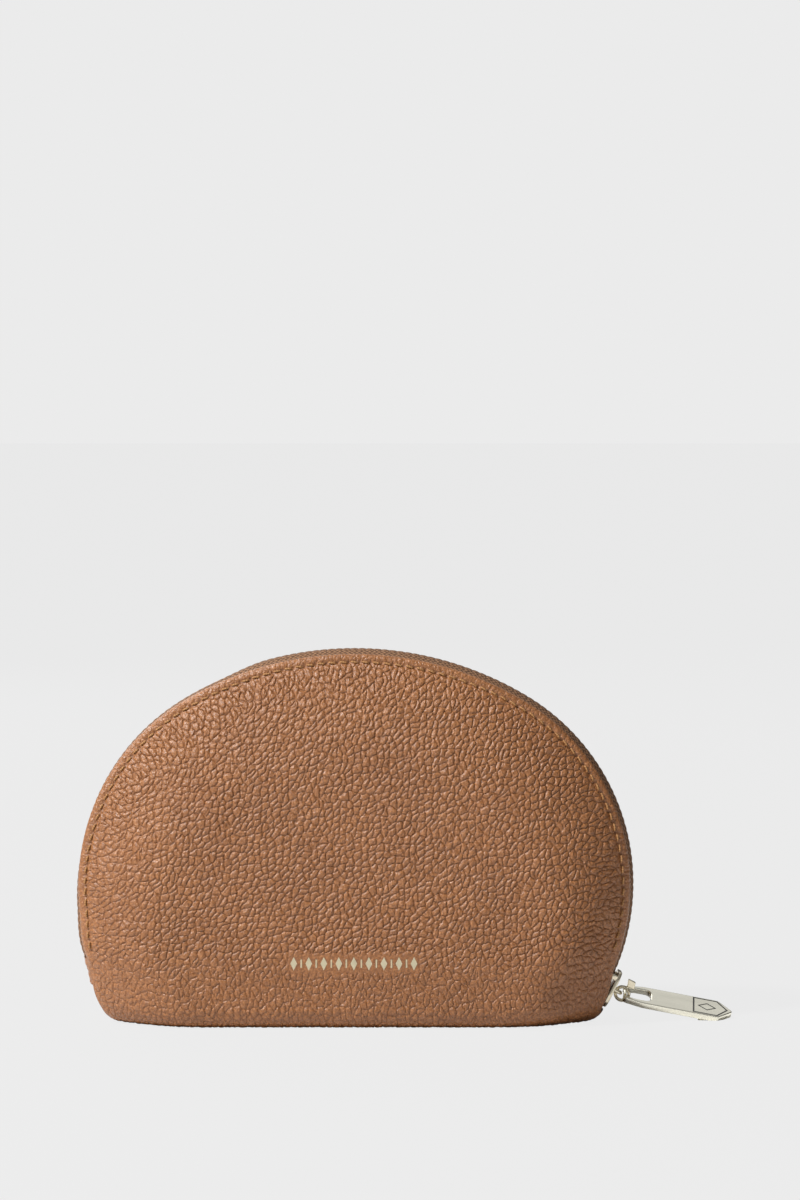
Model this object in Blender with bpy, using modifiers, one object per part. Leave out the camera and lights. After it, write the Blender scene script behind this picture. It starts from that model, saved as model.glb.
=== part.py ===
"""Half-moon zip pouch: two leather panels on a boxed base, closed by a zip along the arch.

X runs to the right, Y away from the front face and Z up. The origin is the centre of the base's underside.
"""
import math

import bmesh
import bpy
import numpy as np
from mathutils import Matrix, Vector

# Arch of the zip, seen from the front: two side arcs joined by a flatter crown arc, straight flares below.
HALF_WIDTH = 0.065
SIDE_RADIUS = 0.051
SIDE_X = HALF_WIDTH - SIDE_RADIUS
SIDE_Z = 0.032
CROWN_START = math.radians(59)
FLARE_START = math.radians(-27)
CROWN_RADIUS = SIDE_RADIUS + SIDE_X / math.cos(CROWN_START)
CROWN_Z = SIDE_Z - SIDE_X * math.tan(CROWN_START)
CROWN_RUN = CROWN_RADIUS * (math.pi / 2 - CROWN_START)
SIDE_RUN = SIDE_RADIUS * (CROWN_START - FLARE_START)

# Depth of the pouch
EDGE_Y = 0.0070
BASE_HALF_DEPTH = 0.0185
DEPTH_TAPER = 0.072
BULGE_WIDTH = 0.026
BASE_BULGE_WIDTH = 0.018
SPLIT_Z = 0.0140
BASE_ROUND = 0.0045

# Layers, measured inwards from the leather's outer face
GAP = 0.0003
LEATHER = 0.0012
BOARD = 0.0005
LINING = 0.0003
BOARD_DEPTH = 0.00155
LINING_DEPTH = 0.00245
BOARD_INSET = 0.008

# Zip, heights measured outwards from the arch
ARCH_STEPS = 52
STEP_CROWDING = 1.45
TAPE = 0.0005
TAPE_TUCK = 0.0011
TAPE_LOW_Z = 0.0027
TAPE_HIGH_Z = SPLIT_Z + GAP
COIL_HALF = 0.0029
COIL_TOP = -0.0003
COIL_BOTTOM = -0.0024
CENTRE_GAP = 0.0002
PARTING = 0.0008
NOTCH_HALF = 0.0065
NOTCH_Z = 0.0022
STITCH_INSET = 0.0022
STITCH_RADIUS = 0.00028

# Slider, in its own frame: x along the zip towards its closing end, y across it, z outwards
SLIDER_LENGTH = 0.0092
SLIDER_HALF_WIDTH = 0.0042
SLIDER_WIDE = 0.0046
SLIDER_REST = 0.0009
OUTER_PLATE = (0.0013, 0.0023)
INNER_PLATE = (-0.0040, -0.0030)
POST_X = 0.0031
BRIDGE_RADIUS = 0.00042
BRIDGE_HALF = 0.0012
BRIDGE_CLEAR = 0.0015
RING_RADIUS = 0.0016
RING_WIRE = 0.0004

# Puller, in its own frame: x along it from the eye's bar, y across it, z its thickness
PULLER_LENGTH = 0.0243
PULLER_HALF_WIDTH = 0.0040
PULLER_NECK_HALF = 0.0027
PULLER_THICKNESS = 0.0015
PULLER_BAR_RADIUS = 0.00042
PULLER_WINDOW_END = 0.0052
PULLER_WINDOW_HALF = 0.0017
PULLER_POINT = 0.0042
PULLER_SLOPE = math.radians(10.8)
PULLER_ROLL = math.radians(13)

# Hinge line of the front panel, along the front edge of the base
HINGE_Y = -0.0181
HINGE_Z = 0.0070

COLOURS = {
    "leather": ((0.36, 0.155, 0.065), 0.55, 0.0),
    "board": ((0.42, 0.33, 0.22), 0.9, 0.0),
    "lining": ((0.40, 0.22, 0.12), 0.85, 0.0),
    "tape": ((0.33, 0.19, 0.10), 0.85, 0.0),
    "coil": ((0.30, 0.17, 0.09), 0.5, 0.0),
    "thread": ((0.52, 0.33, 0.16), 0.7, 0.0),
    "metal": ((0.80, 0.72, 0.55), 0.2, 1.0),
}


def clear_scene():
    for item in list(bpy.data.objects):
        bpy.data.objects.remove(item, do_unlink=True)


def new_collection(name):
    group = bpy.data.collections.new(name)
    bpy.context.scene.collection.children.link(group)
    return group


def make_materials():
    made = {}
    for name, (colour, roughness, metallic) in COLOURS.items():
        material = bpy.data.materials.new(name)
        material.use_nodes = True
        shader = material.node_tree.nodes["Principled BSDF"]
        shader.inputs["Base Color"].default_value = (*colour, 1)
        shader.inputs["Roughness"].default_value = roughness
        shader.inputs["Metallic"].default_value = metallic
        made[name] = material
    return made


clear_scene()
POUCH = new_collection("half_moon_pouch")
CUTTERS = new_collection("cutters")
MATERIALS = make_materials()


# ---- The pouch's surface ----

def arch(run, outward=0.0):
    """Point (x, z) and outward direction at a signed distance along the arch from its top."""
    side = math.copysign(1, run)
    run = abs(run)
    if run <= CROWN_RUN:
        angle = math.pi / 2 - run / CROWN_RADIUS
        x = CROWN_RADIUS * math.cos(angle)
        z = CROWN_Z + CROWN_RADIUS * math.sin(angle)
    else:
        angle = max(FLARE_START, CROWN_START - (run - CROWN_RUN) / SIDE_RADIUS)
        past = max(0.0, run - CROWN_RUN - SIDE_RUN)
        x = SIDE_X + SIDE_RADIUS * math.cos(angle) + past * math.sin(angle)
        z = SIDE_Z + SIDE_RADIUS * math.sin(angle) - past * math.cos(angle)
    out = Vector((side * math.cos(angle), math.sin(angle)))
    return Vector((side * x, z)) + out * outward, out


def run_at_height(z):
    """Distance along the arch, from its top, at which it comes down to a height."""
    low, high = 0.0, 0.2
    for _ in range(50):
        middle = (low + high) / 2
        if arch(middle)[0].y > z:
            low = middle
        else:
            high = middle
    return low


def inset_of(x, z):
    """Distance of a point inside the arch from the arch itself."""
    x = abs(x)
    crown = Vector((x, z - CROWN_Z))
    if math.atan2(crown.x, crown.y) < math.pi / 2 - CROWN_START:
        return CROWN_RADIUS - crown.length
    side = Vector((x - SIDE_X, z - SIDE_Z))
    if math.atan2(side.y, side.x) > FLARE_START:
        return SIDE_RADIUS - side.length
    return SIDE_RADIUS - side.x * math.cos(FLARE_START) - side.y * math.sin(FLARE_START)


def half_depth(x, z):
    """Distance of the leather's outer face from the middle plane."""
    rise = min(max((z - SPLIT_Z) / 0.04, 0), 1)
    width = BASE_BULGE_WIDTH + (BULGE_WIDTH - BASE_BULGE_WIDTH) * rise * rise * (3 - 2 * rise)
    fullest = BASE_HALF_DEPTH - DEPTH_TAPER * max(z - SPLIT_Z, 0)
    reach = min(inset_of(x, z) / width, 1)
    return EDGE_Y + (fullest - EDGE_Y) * (1 - (1 - reach) ** 2)


def skin(x, z, side, depth):
    """Point a given depth below the leather's outer face; side is -1 at the front, 1 at the back."""
    step = 0.0002
    slope_x = (half_depth(x + step, z) - half_depth(x - step, z)) / (2 * step)
    slope_z = (half_depth(x, z + step) - half_depth(x, z - step)) / (2 * step)
    normal = Vector((-slope_x, side, -slope_z)).normalized()
    return Vector((x, side * half_depth(x, z), z)) - normal * depth


def panel_outline(u, v, inset, low_z):
    """Point inside the arch for u across and v up, both 0 to 1, by blending its four sides."""
    foot = run_at_height(low_z)
    shoulder = foot * 0.46
    left = arch(-(foot + (shoulder - foot) * v), -inset)[0]
    right = arch(foot + (shoulder - foot) * v, -inset)[0]
    top = arch(shoulder * (2 * u - 1), -inset)[0]
    low_left = arch(-foot, -inset)[0]
    low_right = arch(foot, -inset)[0]
    high_left = arch(-shoulder, -inset)[0]
    high_right = arch(shoulder, -inset)[0]
    bottom = low_left.lerp(low_right, u)
    corners = low_left.lerp(low_right, u).lerp(high_left.lerp(high_right, u), v)
    return bottom.lerp(top, v) + left.lerp(right, u) - corners


# ---- Building helpers ----

def finish(name, data, material, parent=None):
    item = bpy.data.objects.new(name, data)
    POUCH.objects.link(item)
    data.materials.append(MATERIALS[material])
    if parent is not None:
        item.parent = parent
        item.matrix_parent_inverse = parent.matrix_world.inverted()
    return item


def solidify(item, thickness):
    shell = item.modifiers.new("thickness", "SOLIDIFY")
    shell.thickness = thickness
    shell.offset = -1
    shell.use_quality_normals = True


def grid_mesh(name, columns, rows, place, flip):
    """A grid whose corner (0, 0) to (1, 1) is moved into place by a function of two numbers."""
    work = bmesh.new()
    bmesh.ops.create_grid(work, x_segments=columns, y_segments=rows, size=0.5)
    for vertex in work.verts:
        vertex.co = place(vertex.co.x + 0.5, vertex.co.y + 0.5)
    if flip:
        bmesh.ops.reverse_faces(work, faces=work.faces)
    mesh = bpy.data.meshes.new(name)
    work.to_mesh(mesh)
    work.free()
    return mesh


def panel(name, side, depth, thickness, inset, low_z, columns, rows, material, parent):
    def place(u, v):
        # The grid's lines crowd together towards the arch, where the leather turns fastest.
        u = (1 - math.cos(math.pi * u)) / 2
        v = math.sin(math.pi * v / 2)
        point = panel_outline(u, v, inset, low_z)
        return skin(point.x, point.y, side, depth)

    item = finish(name, grid_mesh(name, columns, rows, place, side > 0), material, parent)
    solidify(item, thickness)
    return item


def empty(name, place):
    marker = bpy.data.objects.new(name, None)
    marker.location = place
    marker.empty_display_size = 0.01
    POUCH.objects.link(marker)
    bpy.context.view_layer.update()
    return marker


def cutter_box(name, low, high):
    work = bmesh.new()
    bmesh.ops.create_cube(work, size=1)
    centre = (Vector(low) + Vector(high)) / 2
    size = Vector(high) - Vector(low)
    bmesh.ops.transform(work, matrix=Matrix.Translation(centre) @ Matrix.Diagonal((*size, 1)), verts=work.verts)
    mesh = bpy.data.meshes.new(name)
    work.to_mesh(mesh)
    work.free()
    item = bpy.data.objects.new(name, mesh)
    CUTTERS.objects.link(item)
    item.hide_render = True
    item.display_type = "WIRE"
    return item


def cut(item, cutter):
    boolean = item.modifiers.new("cut", "BOOLEAN")
    boolean.operation = "DIFFERENCE"
    boolean.solver = "EXACT"
    boolean.object = cutter


# ---- Base ----

def base_loop(z, depth):
    """Closed plan outline of the base's wall at a height, as points from one end round to the other."""
    rounding = 0.0
    if z < BASE_ROUND:
        rounding = BASE_ROUND - math.sqrt(max(BASE_ROUND ** 2 - (BASE_ROUND - z) ** 2, 0))
    end = arch(run_at_height(z))[0].x
    shrink = rounding + depth
    across = []
    for index in range(21):
        x = -math.cos(math.pi * index / 20) * end
        y = half_depth(x, z)
        step = 0.0002
        out = Vector((half_depth(x - step, z) - half_depth(x + step, z), 2 * step)).normalized()
        across.append((x - out.x * shrink, y - out.y * shrink))
    front = [Vector((x, -y, z)) for x, y in across]
    back = [Vector((x, y, z)) for x, y in reversed(across)]
    return front + back


def base_shell(name, depth, thickness, material):
    """Open tray: rounded into the flat underside, and notched at the right end for the zip."""
    work = bmesh.new()
    heights = [0.0, 0.0009, 0.0024, BASE_ROUND, 0.0090, SPLIT_Z]
    rings = []
    for height in heights:
        ring = []
        for point in base_loop(height, depth):
            lifted = max(point.z, 0) + depth * (1 - height / SPLIT_Z)
            ring.append(work.verts.new((point.x, point.y, lifted)))
        rings.append(ring)
    for lower, upper in zip(rings, rings[1:]):
        for index in range(len(lower)):
            after = (index + 1) % len(lower)
            work.faces.new((lower[index], lower[after], upper[after], upper[index]))
    work.faces.new(list(reversed(rings[0])))
    mesh = bpy.data.meshes.new(name)
    work.to_mesh(mesh)
    work.free()
    item = finish(name, mesh, material)
    solidify(item, thickness)
    cut(item, NOTCH)
    return item


def base_board():
    """Flat stiffener lying between the base leather and the base lining."""
    curve = bpy.data.curves.new("base_board", "CURVE")
    curve.dimensions = "2D"
    curve.fill_mode = "BOTH"
    curve.extrude = BOARD / 2
    spline = curve.splines.new("POLY")
    outline = base_loop(0.0, BOARD_DEPTH + 0.0012)[::2]
    spline.points.add(len(outline) - 1)
    for point, place in zip(spline.points, outline):
        point.co = (place.x, place.y, 0, 1)
    spline.use_cyclic_u = True
    item = finish("base_board", curve, "board")
    item.location.z = BOARD_DEPTH + BOARD / 2
    return item


# ---- Zip ----

def zip_run(share):
    """Position along the zip, from its lower right end (0) to its left end (1), crowded at the slider."""
    right = run_at_height(TAPE_LOW_Z)
    left = -run_at_height(TAPE_HIGH_Z)
    return right + (left - right) * share ** STEP_CROWDING


def slider_run():
    """Place of the slider's centre along the arch, with the zip closed."""
    return CROWN_RUN + SIDE_RUN + SLIDER_REST


def parting(run):
    """How far each half of the zip is spread beside the slider's post and below it."""
    share = min(max((run - slider_run() - POST_X + 0.0030) / 0.0022, 0), 1)
    return PARTING * share * share * (3 - 2 * share)


def tape_point(run, side, row):
    """Point of the tape's outer face; rows 0 to 2 lie under the leather, the rest bridge the gap."""
    bridging = [(0.0050, -0.00055), (0.0040, -0.0001), (0.0028, 0.0003), (0.0015, 0.0006), (CENTRE_GAP, 0.0007)]
    if row >= 3:
        y, height = bridging[row - 3]
        (x, z), _ = arch(run, height)
        free = min((0.0058 - y) / 0.0015, 1)
        return Vector((x, side * (y + parting(run) * free), z))
    (x, z), _ = arch(run, -0.00105)
    short = Vector((x, side * (0.00585 + 0.0001 * (2 - row)), z))
    (x, z), _ = arch(run, -TAPE_TUCK * (1, 0.4, 0)[row])
    tucked = skin(x, z, side, BOARD_DEPTH)
    # In the notch of the base the tape has no room to tuck under, so it narrows above it.
    share = min(max((z - SPLIT_Z - 0.0010) / 0.0030, 0), 1)
    return short.lerp(tucked, share)


def zip_tape(name, side, parent):
    rows = 7

    def place(along, across):
        return tape_point(zip_run(along), side, round(across * rows))

    item = finish(name, grid_mesh(name, ARCH_STEPS, rows, place, side < 0), "tape", parent)
    solidify(item, TAPE)
    return item


def zip_coil(name, side, parent):
    """One half of the coil, as the solid strip that its turns fill."""
    work = bmesh.new()
    section = [
        (CENTRE_GAP, COIL_TOP),
        (0.0014, COIL_TOP - 0.0002),
        (COIL_HALF, COIL_TOP - 0.0010),
        (COIL_HALF, COIL_BOTTOM + 0.0005),
        (COIL_HALF - 0.0006, COIL_BOTTOM),
        (CENTRE_GAP, COIL_BOTTOM),
    ]
    rings = []
    for step in range(ARCH_STEPS + 1):
        run = zip_run(0.002 + 0.996 * step / ARCH_STEPS)
        ring = []
        for y, height in section:
            (x, z), _ = arch(run, height)
            ring.append(work.verts.new((x, side * (y + parting(run)), z)))
        rings.append(ring)
    for lower, upper in zip(rings, rings[1:]):
        for index in range(len(section)):
            after = (index + 1) % len(section)
            work.faces.new((lower[index], lower[after], upper[after], upper[index]))
    work.faces.new(rings[0])
    work.faces.new(list(reversed(rings[-1])))
    bmesh.ops.recalc_face_normals(work, faces=work.faces)
    mesh = bpy.data.meshes.new(name)
    work.to_mesh(mesh)
    work.free()
    return finish(name, mesh, "coil", parent)


def stitching(name, side, parent):
    """One row of thread along the panel's edge, just outside the leather."""
    curve = bpy.data.curves.new(name, "CURVE")
    curve.dimensions = "3D"
    curve.bevel_depth = STITCH_RADIUS
    curve.bevel_resolution = 1
    curve.use_fill_caps = True
    spline = curve.splines.new("POLY")
    spline.points.add(ARCH_STEPS)
    foot = run_at_height(SPLIT_Z + 0.002)
    for step, point in enumerate(spline.points):
        place = arch(foot * (2 * step / ARCH_STEPS - 1), -STITCH_INSET)[0]
        point.co = (*skin(place.x, place.y, side, -GAP - STITCH_RADIUS), 1)
    return finish(name, curve, "thread", parent)


def frame_on_arch(run, height=0.0):
    """Matrix whose x runs along the arch towards its right end, y across it and z outwards."""
    (x, z), out = arch(run, height)
    along = Vector((out.y, 0, -out.x))
    outward = Vector((out.x, 0, out.y))
    across = outward.cross(along)
    turn = Matrix((along, across, outward)).transposed().to_4x4()
    return Matrix.Translation((x, 0, z)) @ turn


def block(work, low, high):
    made = bmesh.ops.create_cube(work, size=1)["verts"]
    centre = (Vector(low) + Vector(high)) / 2
    size = Vector(high) - Vector(low)
    bmesh.ops.transform(work, matrix=Matrix.Translation(centre) @ Matrix.Diagonal((*size, 1)), verts=made)


def block_object(name, low, high, place, material, parent):
    work = bmesh.new()
    block(work, low, high)
    bmesh.ops.bevel(work, geom=work.edges[:], offset=0.0002, segments=1, affect="EDGES")
    work.transform(place)
    mesh = bpy.data.meshes.new(name)
    work.to_mesh(mesh)
    work.free()
    return finish(name, mesh, material, parent)


def stops(front_half):
    """Metal stops: one plate per coil end below the slider, one plate under both at the far end."""
    place = frame_on_arch(zip_run(0))
    low, high = COIL_BOTTOM - GAP - 0.0006, COIL_BOTTOM - GAP
    inner, outer = CENTRE_GAP + PARTING, COIL_HALF + PARTING
    block_object("top_stop_front", (-0.0010, -outer, low), (-0.0001, -inner, high), place, "metal", front_half)
    block_object("top_stop_back", (-0.0010, inner, low), (-0.0001, outer, high), place, "metal", None)
    place = frame_on_arch(zip_run(0.988))
    block_object("bottom_stop", (-0.0012, -COIL_HALF, low), (0.0012, COIL_HALF, high), place, "metal", None)


# ---- Slider, ring and puller ----

def outline_plate(name, outline, low, high):
    """Mesh of a flat outline between two heights."""
    work = bmesh.new()
    bottom = [work.verts.new((x, y, low)) for x, y in outline]
    face = work.faces.new(bottom)
    grown = bmesh.ops.extrude_face_region(work, geom=[face])["geom"]
    raised = [item for item in grown if isinstance(item, bmesh.types.BMVert)]
    bmesh.ops.translate(work, vec=(0, 0, high - low), verts=raised)
    bmesh.ops.recalc_face_normals(work, faces=work.faces)
    mesh = bpy.data.meshes.new(name)
    work.to_mesh(mesh)
    work.free()
    return mesh


def helper(name, mesh, place):
    item = bpy.data.objects.new(name, mesh)
    item.matrix_world = place
    CUTTERS.objects.link(item)
    item.hide_render = True
    item.display_type = "WIRE"
    return item


def join(item, other):
    union = item.modifiers.new("join", "BOOLEAN")
    union.operation = "UNION"
    union.solver = "EXACT"
    union.object = other


def slider_outline():
    """Half-heart outline of a slider plate: narrow at the top, wide at the two mouths below."""
    half = SLIDER_LENGTH / 2
    right = [
        (-half, SLIDER_HALF_WIDTH - 0.0014),
        (-half + 0.0010, SLIDER_HALF_WIDTH - 0.0003),
        (-half + 0.0030, SLIDER_HALF_WIDTH),
        (half - 0.0030, SLIDER_WIDE),
        (half - 0.0010, SLIDER_WIDE - 0.0004),
        (half, SLIDER_WIDE - 0.0022),
        (half - 0.0004, 0.0008),
    ]
    return right + [(x, -y) for x, y in reversed(right)]


def slider_body(place, parent):
    """Two plates joined by the post between the coils, with a pair of flanges on each plate."""
    outline = slider_outline()
    item = finish("slider_body", outline_plate("slider_body", outline, *OUTER_PLATE), "metal", parent)
    item.matrix_world = place
    inner = helper("slider_inner_plate", outline_plate("slider_inner_plate", outline, *INNER_PLATE), place)
    join(item, inner)
    lap = 0.0002
    post = cutter_box("slider_post", (POST_X - 0.0007, -0.0005, INNER_PLATE[1] - lap),
                      (POST_X + 0.0007, 0.0005, OUTER_PLATE[0] + lap))
    post.matrix_world = place
    join(item, post)
    wall = 0.0008
    for side in (-1, 1):
        ends = sorted((side * (SLIDER_HALF_WIDTH - wall), side * (SLIDER_HALF_WIDTH - 0.0001)))
        for label, low, high in (("outer", 0.0002, OUTER_PLATE[0] + lap), ("inner", INNER_PLATE[1] - lap, -0.0023)):
            flange = cutter_box(f"slider_{label}_flange_{side}", (-0.0032, ends[0], low), (0.0008, ends[1], high))
            flange.matrix_world = place
            join(item, flange)
    return item


def bridge(place, parent):
    """Wire arch across the slider's outer plate, with its feet standing just above the plate."""
    curve = bpy.data.curves.new("slider_bridge", "CURVE")
    curve.dimensions = "3D"
    curve.bevel_depth = BRIDGE_RADIUS
    curve.bevel_resolution = 1
    curve.use_fill_caps = True
    spline = curve.splines.new("POLY")
    foot = OUTER_PLATE[1] + GAP / 2
    top = OUTER_PLATE[1] + BRIDGE_CLEAR + BRIDGE_RADIUS
    points = [(-BRIDGE_HALF, foot)]
    for index in range(7):
        angle = math.pi * (1 - index / 6)
        y = BRIDGE_HALF * math.copysign(abs(math.cos(angle)) ** 0.5, math.cos(angle))
        points.append((y, foot + 0.0005 + (top - foot - 0.0005) * math.sin(angle) ** 0.5))
    points.append((BRIDGE_HALF, foot))
    spline.points.add(len(points) - 1)
    for point, (y, z) in zip(spline.points, points):
        point.co = (0, y, z, 1)
    item = finish("slider_bridge", curve, "metal", parent)
    item.matrix_world = place
    return item


def link_ring(place, parent):
    """Ring standing in the plane of the zip, threaded through the bridge and the puller's window."""
    curve = bpy.data.curves.new("link_ring", "CURVE")
    curve.dimensions = "3D"
    curve.bevel_depth = RING_WIRE
    curve.bevel_resolution = 1
    spline = curve.splines.new("POLY")
    spline.points.add(19)
    for index, point in enumerate(spline.points):
        angle = 2 * math.pi * index / 20
        point.co = (RING_RADIUS * math.cos(angle), 0, RING_RADIUS * math.sin(angle), 1)
    spline.use_cyclic_u = True
    item = finish("link_ring", curve, "metal", parent)
    item.matrix_world = place
    return item


def puller(place, parent):
    """Flat bar, forked at the eye end with a thin round bar across the fork, and pointed at the tip."""
    right = [
        (-0.0001, PULLER_NECK_HALF - 0.0005),
        (0.0006, PULLER_NECK_HALF),
        (0.0060, PULLER_HALF_WIDTH - 0.0004),
        (0.0110, PULLER_HALF_WIDTH),
        (PULLER_LENGTH - PULLER_POINT, PULLER_HALF_WIDTH),
        (PULLER_LENGTH, 0.0003),
    ]
    outline = right + [(x, -y) for x, y in reversed(right)]
    half = PULLER_THICKNESS / 2
    item = finish("puller", outline_plate("puller", outline, -half, half), "metal", parent)
    item.matrix_world = place
    window = [
        (-0.0010, PULLER_WINDOW_HALF),
        (PULLER_WINDOW_END - 0.0014, PULLER_WINDOW_HALF),
        (PULLER_WINDOW_END, PULLER_WINDOW_HALF - 0.0011),
    ]
    window = window + [(x, -y) for x, y in reversed(window)]
    cut(item, helper("puller_window", outline_plate("puller_window", window, -0.002, 0.002), place))
    work = bmesh.new()
    turn = Matrix.Rotation(math.pi / 2, 4, "X")
    bmesh.ops.create_cone(work, cap_ends=True, segments=10, radius1=PULLER_BAR_RADIUS,
                          radius2=PULLER_BAR_RADIUS, depth=2 * PULLER_NECK_HALF - 0.0014, matrix=turn)
    mesh = bpy.data.meshes.new("puller_bar")
    work.to_mesh(mesh)
    work.free()
    bar_place = place @ Matrix.Translation((PULLER_BAR_RADIUS, 0, 0))
    join(item, helper("puller_bar", mesh, bar_place))
    return item


def build():
    hinge = empty("front_opening_axis", (0, HINGE_Y, HINGE_Z))
    track = empty("slider_travel_axis", (SIDE_X, 0, SIDE_Z))

    for word, side, parent in (("front", -1, hinge), ("back", 1, None)):
        low = SPLIT_Z + 2 * GAP
        panel(f"{word}_leather", side, 0, LEATHER, 0, low, 26, 12, "leather", parent)
        panel(f"{word}_stiffener", side, BOARD_DEPTH, BOARD, BOARD_INSET, low + 0.002, 16, 8, "board", parent)
        panel(f"{word}_lining", side, LINING_DEPTH, LINING, 0, low, 26, 12, "lining", parent)
        zip_tape(f"zip_tape_{word}", side, parent)
        zip_coil(f"zip_coil_{word}", side, parent)
        stitching(f"stitching_{word}", side, parent)

    base_shell("base_leather", 0, LEATHER, "leather")
    base_shell("base_lining", LINING_DEPTH, LINING, "lining")
    base_board()
    stops(hinge)

    slider_place = frame_on_arch(slider_run())
    slider_body(slider_place, track)
    bridge(slider_place, track)

    out = slider_place.to_3x3() @ Vector((0, 0, 1))
    bridge_height = OUTER_PLATE[1] + BRIDGE_CLEAR + BRIDGE_RADIUS
    ring_height = OUTER_PLATE[1] + BRIDGE_CLEAR / 2 + RING_RADIUS
    link_axis = empty("link_swing_axis", slider_place.translation + out * bridge_height)
    link_axis.parent = track
    link_axis.matrix_parent_inverse = track.matrix_world.inverted()
    bpy.context.view_layer.update()
    ring_centre = slider_place.translation + out * ring_height
    link_ring(Matrix.Translation(ring_centre), link_axis)

    along = Vector((math.cos(PULLER_SLOPE), 0, -math.sin(PULLER_SLOPE)))
    bar = ring_centre + along * (RING_RADIUS - RING_WIRE - PULLER_BAR_RADIUS - 0.0001)
    puller_axis = empty("puller_swing_axis", bar)
    puller_axis.parent = link_axis
    puller_axis.matrix_parent_inverse = link_axis.matrix_world.inverted()
    bpy.context.view_layer.update()
    turn = Matrix.Rotation(PULLER_SLOPE, 4, "Y") @ Matrix.Rotation(PULLER_ROLL, 4, "X")
    puller(Matrix.Translation(bar) @ turn @ Matrix.Translation((-PULLER_BAR_RADIUS, 0, 0)), puller_axis)


NOTCH = cutter_box("zip_notch", (0.0480, -NOTCH_HALF, NOTCH_Z), (0.0700, NOTCH_HALF, 0.0300))
build()
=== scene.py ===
"""Looks of the half-moon zip pouch: grained leather skins, sewn edges, woven zip and metal slider.

X runs to the right, Y away from the front face and Z up; lengths are in metres. The skins, linings, tapes,
coils and stitches are made here around the fixed frame.
"""
import math

import bpy
import numpy as np
from mathutils import Matrix, Vector

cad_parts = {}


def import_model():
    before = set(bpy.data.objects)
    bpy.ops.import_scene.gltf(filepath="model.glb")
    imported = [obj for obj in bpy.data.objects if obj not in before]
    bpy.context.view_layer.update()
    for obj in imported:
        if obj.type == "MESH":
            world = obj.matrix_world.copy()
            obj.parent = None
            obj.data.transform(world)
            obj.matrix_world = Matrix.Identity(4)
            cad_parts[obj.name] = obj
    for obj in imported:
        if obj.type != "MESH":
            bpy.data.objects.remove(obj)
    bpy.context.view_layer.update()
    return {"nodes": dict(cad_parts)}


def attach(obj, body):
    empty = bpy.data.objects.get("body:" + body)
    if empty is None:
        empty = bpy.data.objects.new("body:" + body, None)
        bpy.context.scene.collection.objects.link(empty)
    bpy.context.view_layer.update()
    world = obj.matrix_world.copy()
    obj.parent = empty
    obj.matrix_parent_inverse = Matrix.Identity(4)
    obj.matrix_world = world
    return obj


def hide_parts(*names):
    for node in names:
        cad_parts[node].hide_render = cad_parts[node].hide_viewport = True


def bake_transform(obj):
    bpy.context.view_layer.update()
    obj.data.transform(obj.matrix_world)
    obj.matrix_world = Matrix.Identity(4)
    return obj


MM = 0.001

# Arch of the zip seen from the front: two side arcs, a flatter crown arc and straight flares below
HALF_WIDTH = 65 * MM
SIDE_RADIUS = 51 * MM
SIDE_X = HALF_WIDTH - SIDE_RADIUS
SIDE_Z = 32 * MM
CROWN_START = math.radians(59)
FLARE_START = math.radians(-27)
CROWN_RADIUS = SIDE_RADIUS + SIDE_X / math.cos(CROWN_START)
CROWN_Z = SIDE_Z - SIDE_X * math.tan(CROWN_START)
CROWN_RUN = CROWN_RADIUS * (math.pi / 2 - CROWN_START)
SIDE_RUN = SIDE_RADIUS * (CROWN_START - FLARE_START)

# Depth of the pouch
EDGE_Y = 7.0 * MM
BASE_HALF_DEPTH = 18.5 * MM
DEPTH_TAPER = 0.072
BULGE_WIDTH = 26 * MM
BASE_BULGE_WIDTH = 18 * MM
SPLIT_Z = 14 * MM
BASE_ROUND = 4.5 * MM
PATCH_FOOT = 9 * MM
SHOULDER_SHARE = 0.46
LEFT_SPREAD = 0.9 * MM
BASE_SPREAD = 1.9 * MM
SLOPE_STEP = 0.2 * MM
STIFFENER_DEPTH = 1.55 * MM
STIFFENER_INSET = 8 * MM
LINING_DEPTH = 2.45 * MM
LINING_TURN = 0.7 * MM

# Sewn edge
ROLL = 0.65 * MM
ROLL_REACH = 0.75 * MM
BEAD_INSET = 0.95 * MM
BEAD_WIDTH = 0.55 * MM
BEAD_HEIGHT = 0.13 * MM
STITCH_INSET = 2.05 * MM
FURROW_WIDTH = 0.55 * MM
FURROW = 0.20 * MM
STITCH_PITCH = 2.66 * MM
STITCH_LENGTH = 1.75 * MM
STITCH_RADIUS = 0.24 * MM
STITCH_SLANT = 0.13 * MM
STITCH_END_Z = 15.5 * MM
HOLE_DEPTH = 0.28 * MM
TURNED_DEPTHS = (0.35 * MM, 0.8 * MM)
CUT_EDGE_DARKNESS = 0.5
CORNER_BULGE = 0.8 * MM
CORNER_FULLNESS = 0.84
CORNER_ROUND = 2.8 * MM
LEFT_CORNER_TOP = 15.2 * MM
RIGHT_CORNER_TOP = 2.6 * MM

# Leather grain
GRAIN_CELL = 1.66 * MM
GRAIN_STRETCH = 1.30
GRAIN_LEAN = math.radians(52)
GRAIN_HEIGHT = 0.56 * MM
EDGE_GRAIN_REACH = 13 * MM
BACK_GRAIN_OFFSET = 0.31
NOISE_TABLE = 97
PEBBLE_TABLE = 131

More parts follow.
